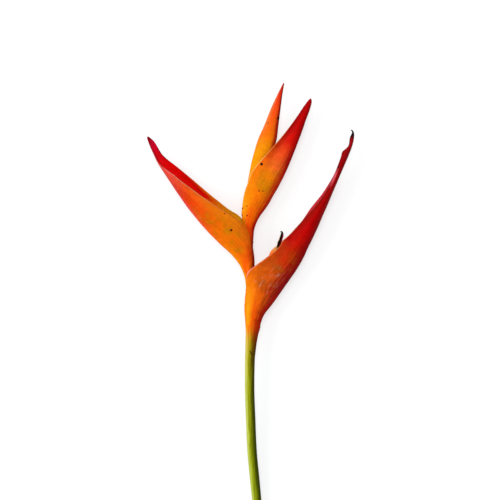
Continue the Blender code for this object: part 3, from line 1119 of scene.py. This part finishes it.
UPPER_BRACT = Bract(
    name="upper_bract_leaf",
    node="bract_upper_right",
    slot="bract_skin_orange",
    finish=BractFinish(
        name="fresh_waxy_orange_bract_upper",
        # the face's pinkish coral at .5 to .58 is partly a painted highlight
        face=ramp("0 #ee4404, .07 #fa5c04, .14 #fe7004, .4 #fc8206, .5 #ff6a24, .58 #fc4e1c, "
                  ".67 #e6180c, .8 #c80404, .9 #be0406, 1 #aa0406"),
        keel=ramp("0 #b0140a, .08 #c00e06, .3 #cc2e0c, .5 #b8140a, .62 #aa0406, .8 #a60204, "
                  "1 #9a0608"),
        rim=ramp("0 #ff9006, .15 #fb9406, .4 #f07206, .5 #e05804, .6 #ac2804, .72 #9e0606, "
                 "1 #a40408"),
        margin=ramp("0 #f0900c, .3 #fcb04c, .45 #fcb860, .6 #d87c38, .74 #b85c20, .84 #941a0c, "
                    "1 #8c100c"),
        lining=ramp("0 #d8580a, .4 #d0500a, .6 #b82408, 1 #980806"),
        lining_rim=ramp("0 #e06c0c, .5 #d8600c, 1 #a80c08"),
        keel_share=0.38,
        cloud=(0.2, 0.48, 0.55),
        cloud_colour="#c08404",
        specks=((0.44, 0.925, 0.78), (0.3, 0.55, 0.34), (0.285, 0.65, 0.34),
                (0.145, 0.815, 0.36), (0.095, 0.725, 0.36), (0.105, 0.975, 0.42),
                (0.06, 0.975, 0.42)),
    ),
    keel=(
        (1.5, 31.6, 0, 3.7), (2.2, 37.7, 0, 4.3), (5.2, 44.6, 0, 5), (8, 48.3, 0, 5.4),
        (14, 58.3, 0, 6), (19, 67.8, 0, 6.1), (23.5, 78.5, 0, 5.4), (28, 90.3, 0, 3.8),
        (30.7, 98.1, 0, 2.7), (33, 104.6, 0, 1.7), (33.7, 107.9, 0, 1), (33.4, 109.4, 0, 0.6),
    ),
    near_rim=(
        (-4.4, 40.8, 1.8), (-4.9, 45.6, 2.4), (-4.4, 51.4, 3), (-3.2, 58, 3.6), (-1.3, 63.5, 4.2),
        (0.6, 68.8, 4.6), (2.8, 71.8, 4.8), (10.1, 80.2, 4.7), (17.9, 89.2, 3.2),
        (25.4, 99.2, 1.8), (29.8, 105.8, 1), (31.6, 108.2, 0.7), (32.7, 109.4, 0.5),
    ),
    root=((0.4, 26.5, 0, 1.4), (-2.4, 33.6, 1.2)),
)

TOP_BRACT = Bract(
    name="top_bract_leaf",
    node="bract_top",
    slot="bract_skin_amber",
    finish=BractFinish(
        name="fresh_waxy_amber_bract",
        face=ramp("0 #fc8c06, .3 #fea806, .5 #fe9404, .6 #fc7806, .7 #f8620c, .8 #f44a10, "
                  ".9 #e43212, 1 #b00c08"),
        # the keel faces the lamp: its coral past .6 is partly a painted highlight
        keel=ramp("0 #f4960c, .45 #f99604, .6 #f67420, .75 #f07838, .9 #ee6c40, 1 #b83420"),
        rim=ramp("0 #f07408, .3 #ee5606, .45 #ec5c0c, .55 #c42a10, .65 #ac0e06, 1 #900a08"),
        margin=ramp("0 #d06a10, .5 #b8400c, .75 #900c0a, 1 #80080a"),
        lining=ramp("0 #d8700c, .5 #d0540a, 1 #a41008"),
        lining_rim=ramp("0 #d8700c, .5 #c8400a, 1 #980c08"),
        rim_from=0.76,
        cloud=(0.3, 0.45, 0.15),
        specks=((0.73, 0.955, 0.85), (0.69, 0.4, 0.34)),
    ),
    keel=(
        (-4, 44.5, 0, 2.5), (-3.6, 51, 0, 2.7), (-2.3, 58, 0, 3), (-1.4, 64.5, 0, 3.2),
        (-0.6, 69, 0, 3.3), (2, 80.2, 0, 3.4), (4.3, 87.5, 0, 3.2), (7.1, 93.7, 0, 2.8),
        (11.7, 105.1, 0, 1.8), (16.3, 114.7, 0, 0.9), (18, 118, 0, 0.5),
    ),
    near_rim=(
        (0.6, 47.5, 0.5), (2.3, 54, 0.6), (5.2, 63, 0.7), (8.8, 72.3, 0.8), (12, 80, 0.8),
        (14, 85.8, 0.8), (15.2, 94.3, 0.7), (16.3, 102.9, 0.6), (17.5, 111.8, 0.5),
        (18.6, 117.9, 0.4),
    ),
    dent=0.1,
    rib=0.02,
)

GREEN_TO_ORANGE = StalkFinish(
    name="green_stem_skin",
    colours=ramp("0 #909e0e, .44 #a0a40e, .52 #a8a00c, .565 #b4980c, .588 #cc820a, .608 #ea7206, "
                 ".63 #fc6e06, 1 #f46804"),
    streaks=ramp("0 #788608, .45 #888c08, .52 #8c8408, .57 #987808, .59 #b86808, .612 #e65e04, "
                 ".635 #f85c04, 1 #ec5804"),
    # the pale left tint is painted light and the dark right tint is painted shade
    left=ramp("0 #c8d454, .4 #d4dc6c, .5 #dcd468, .56 #e4c454, .585 #f4b048, .605 #fca01c, "
              ".64 #fa940c, 1 #f4860a"),
    right=ramp("0 #303a04, .4 #343604, .5 #402804, .565 #5c1c04, .595 #8c1406, .62 #a81604, "
               ".66 #a41404, .74 #980e06, 1 #880a06"),
    left_light_and_edge_share=0.78,
    right_shade_and_edge_share=0.9,
    marks=((-0.2, -29.5, 2.5, 0.4), (0.2, -30.2, 2.45, 0.5), (0.6, -31, 2.4, 0.6)),
)

OVARY_FINISH = StalkFinish(
    name="orange_floret_base",
    colours=ramp("0 #e07c10, .72 #f0680c, .86 #f8701c, .94 #e88c3c, 1 #d8a458"),
    streaks=ramp("0 #d06c10, .75 #e45408, .86 #fc9448, .94 #f0a860, 1 #c89048"),
    # the lighter left tint is painted light; the right tint is painted shade low down and the
    # floret's pale streak near the petals
    left=ramp("0 #e8903c, .85 #f46410, .94 #f07420, 1 #e0a058"),
    right=ramp("0 #b84008, .82 #d8843c, .9 #c8a058, 1 #b8904c"),
    left_light_and_edge_share=0.4,
    right_shade_and_edge_share=0.5,
    streak_width=1.2,
    streak_length=8.0,
)

# The petals have dried, so they are matt and let no light in
WITHERED_FINISH = StalkFinish(
    name="withered_floret_petals",
    colours=ramp("0 #341008, .15 #080404, .74 #060404, .9 #2c3028, 1 #4c4e3c"),
    streaks=ramp("0 #5c2c10, .2 #060404, .8 #0c0808, 1 #6c7060"),
    left=ramp("0 #d0a068, .6 #b8905c, .74 #3c3428, .85 #3c4840, 1 #6c8078"),
    right=ramp("0 #a01008, .5 #b01010, .78 #a00c20, .88 #2c0c0c, 1 #38342c"),
    left_light_and_edge_share=0.85,
    right_shade_and_edge_share=0.9,
    left_edge=(-0.6, -0.95),
    right_edge=(0.2, 0.7),
    streak_width=0.5,
    streak_length=4.0,
    roughness=0.62,
    glow=0.0,
)

BUD_FINISH = StalkFinish(
    name="closed_floret_bud",
    colours=ramp("0 #f4b040, .6 #f49420, 1 #c8a030"),
    streaks=ramp("0 #e89c2c, .6 #ec8414, 1 #8c8c20"),
    # the lighter left tint is painted light and the darker right tint is painted shade
    left=ramp("0 #f8c460, 1 #d0b040"),
    right=ramp("0 #e07c10, 1 #a07c18"),
    left_light_and_edge_share=0.3,
    right_shade_and_edge_share=0.3,
)

STEM = Stem(
    name="stem_and_axis",
    node="stem",
    slot="stem_skin",
    finish=GREEN_TO_ORANGE,
    steps=240,
    sides=64,
    waves=14,
    wave_height=0.008,
    rings=(
        (4, -118, 2.45, 2.36, 8), (3.4, -111.4, 2.5, 2.38, 6), (2.2, -99.2, 2.6, 2.4, 5),
        (0.8, -83.9, 2.6, 2.4, 4), (0.1, -67.4, 2.6, 2.4, 2), (-0.5, -48.2, 2.6, 2.45, 1),
        (-0.35, -34.4, 2.7, 2.55, -2), (0.05, -28.4, 2.9, 2.7, -4), (0.35, -24, 3.15, 2.9, -9),
        (0.75, -19.6, 3.6, 3.15, -19), (1, -14.6, 5, 3.4, -36), (1, -10.1, 6.9, 3.45, -50.3),
        (1.3, -7.9, 6.4, 3.3, -44.4), (1, -5.5, 5.7, 3, -43.2), (-0.5, -1.5, 2.75, 2.3, -18),
        (-0.6, 4, 2.2, 2.2, 20), (-0.45, 9.2, 4.4, 2.6, 62.6), (-0.2, 13, 3.2, 1.9, 45),
        (-0.15, 22, 2.25, 1.9, 5), (-0.35, 28, 1.85, 1.8, -20), (-0.6, 31.5, 2.7, 2, -42),
        (-1, 35.8, 5, 2.3, -60.8), (-1.7, 39, 3, 1.5, -50), (-1.8, 44, 1, 1, -10),
        (-1.6, 47.5, 0.7, 0.7, 0),
    ),
)

OVARY = Spindle(
    name="floret_base",
    node="floret_ovary",
    slot="floret_skin",
    finish=OVARY_FINISH,
    steps=90,
    sides=36,
    waves=3,
    wave_height=0.05,
    flatness=0.9,
    rings=(
        (3.2, -1.2, 0.7, 0.6), (4.4, 2, 0.8, 0.7), (7, 9, 1, 0.75), (9.8, 17, 1.2, 1),
        (11.5, 21.3, 1.4, 1.9), (12.8, 24.3, 1.5, 2.15), (13.7, 26.1, 1.6, 1.6),
        (14.5, 27.7, 1.6, 0.9),
    ),
)

WITHERED = Spindle(
    name="withered_petals_roll",
    node="floret_withered",
    slot="withered_petals",
    finish=WITHERED_FINISH,
    steps=90,
    sides=40,
    waves=5,
    wave_height=0.16,
    twist=2.4,
    flatness=0.7,
    lump=0.2,
    lump_size=1.1,
    rings=(
        (14.3, 26.1, 1.7, 0.6), (15.2, 28.1, 1.7, 0.9), (15.85, 29.9, 1.6, 1),
        (16.65, 32.2, 1.5, 0.92), (17.3, 34.3, 1.4, 0.74), (17.35, 35.5, 1.4, 0.6),
        (17, 36.1, 1.4, 0.42), (16.4, 36.3, 1.4, 0.26),
    ),
)

LOWEST_BUD, LEFT_BUD = (
    Spindle(name=f"{place}_bud_petals", node=f"bud_{place}", slot="floret_skin",
            finish=BUD_FINISH, steps=60, sides=30, waves=3, wave_height=0.05, rings=rings)
    for place, rings in (
        ("lowest", (
            (2.5, 2, -1.1, 0.5), (3.4, 4.2, -1.4, 0.6), (5.2, 8.2, -1.8, 1), (7.6, 14, -1.8, 1.4),
            (9.6, 19, -1.6, 0.9), (10.6, 21.6, -1.4, 0.35),
        )),
        ("left", (
            (-2.7, 19, -0.2, 0.5), (-3.5, 21.5, -0.4, 0.6), (-5.5, 26.5, -0.8, 1.1),
            (-8.4, 33, -1.2, 1.5), (-11.5, 39, -1.6, 1), (-13.2, 42.2, -1.8, 0.35),
        )),
    )
)

PIECES = (STEM, LOWEST_BRACT, LEFT_BRACT, UPPER_BRACT, TOP_BRACT, OVARY, WITHERED, LOWEST_BUD,
          LEFT_BUD)


@dataclass(frozen=True)
class SoftBox:
    """A soft studio light: where it stands, how wide it is, and its power in watts."""

    name: str
    place: Row
    size: float
    power: float

    def build(self, target: Vector) -> None:
        """Hang the light and turn it to a target."""
        light = bpy.data.lights.new(self.name, "AREA")
        light.shape, light.size, light.energy = "DISK", self.size, self.power
        stand = put_in_scene(self.name, light)
        stand.location = self.place
        stand.rotation_euler = (target - Vector(self.place)).to_track_quat("-Z", "Y").to_euler()


@dataclass(frozen=True)
class Studio:
    """The pale floor, the soft lights, and the camera that looks straight down.

    Sizes and places are in metres, except those of the lens and the paper's fibres.
    """

    # how much of the flower the photograph shows: its width, which is its height, and its middle
    view_width: float = 0.275
    view_middle: Row = (-0.0003, 0.0261)
    lens: float = 200.0
    sensor: float = 36.0
    floor_size: float = 30.0
    paper: str = "#b4b4b3"
    # spacing and height of the paper's fibres in millimetres, and how far they show
    fibre: float = 0.8
    fibre_height: float = 0.05
    fibre_strength: float = 0.1
    floor_roughness: float = 0.9
    # the floor is lit from below like a light table, which keeps the shadows on it pale
    floor_glow: float = 0.62
    world_colour: str = "#f2f5fa"
    world_strength: float = 0.5
    lights: tuple[SoftBox, ...] = (
        SoftBox("left_soft_box", (-0.72, 0.05, 0.42), 0.5, 3.6),
        SoftBox("overhead_soft_box", (-0.02, 0.35, 1.1), 0.7, 5.2),
    )

    def build(self) -> None:
        """Set up the floor, the lights, the world and the camera."""
        self.lay_floor()
        middle = Vector((*self.view_middle, HEAD_HEIGHT * MM))
        for light in self.lights:
            light.build(middle)
        world = bpy.data.worlds.new("studio_air")
        world.use_nodes = True
        background = world.node_tree.nodes["Background"]
        background.inputs["Color"].default_value = linear(self.world_colour)
        background.inputs["Strength"].default_value = self.world_strength
        bpy.context.scene.world = world
        bpy.context.scene.view_settings.view_transform = "Standard"
        self.hang_camera(middle)

    def lay_floor(self) -> None:
        """Lay the floor, pressed white paper that is matt and has a faint grain."""
        bm = bmesh.new()
        bmesh.ops.create_grid(bm, x_segments=1, y_segments=1, size=self.floor_size / 2)
        mesh = bpy.data.meshes.new("studio_floor")
        bm.to_mesh(mesh)
        bm.free()
        material, tree, place = start_material("matt_white_paper")
        grain = add_node(tree, "TexNoise", {
            "Vector": place, "Scale": per_mm(self.fibre), "Detail": 2.0,
        })
        bump = add_node(tree, "Bump", {
            "Height": grain, "Strength": self.fibre_strength, "Distance": self.fibre_height * MM,
        })
        end_material(tree, {
            "Base Color": self.paper, "Roughness": self.floor_roughness, "Normal": bump,
            "Emission Color": "#ffffff", "Emission Strength": self.floor_glow,
        })
        mesh.materials.append(material)
        floor = put_in_scene("studio_floor", mesh)
        floor.visible_diffuse = floor.visible_glossy = False

    def hang_camera(self, middle: Vector) -> None:
        """Hang the camera over a point, far enough up to see the photograph's width."""
        camera = bpy.data.cameras.new("overhead_camera")
        camera.type = "PERSP"
        camera.lens, camera.sensor_width = self.lens, self.sensor
        stand = put_in_scene("overhead_camera", camera)
        stand.location = middle + Vector((0.0, 0.0, self.view_width * self.lens / self.sensor))
        bpy.context.scene.camera = stand


def main() -> None:
    """Build the flower's pieces in order, then the studio round them."""
    for part in PIECES:
        piece = part.build()
        faces = len(piece.data.polygons)
        LOG.info("%s stands for %s with %d faces", piece.name, part.node, faces)
    Studio().build()


if __name__ == "__main__":
    main()
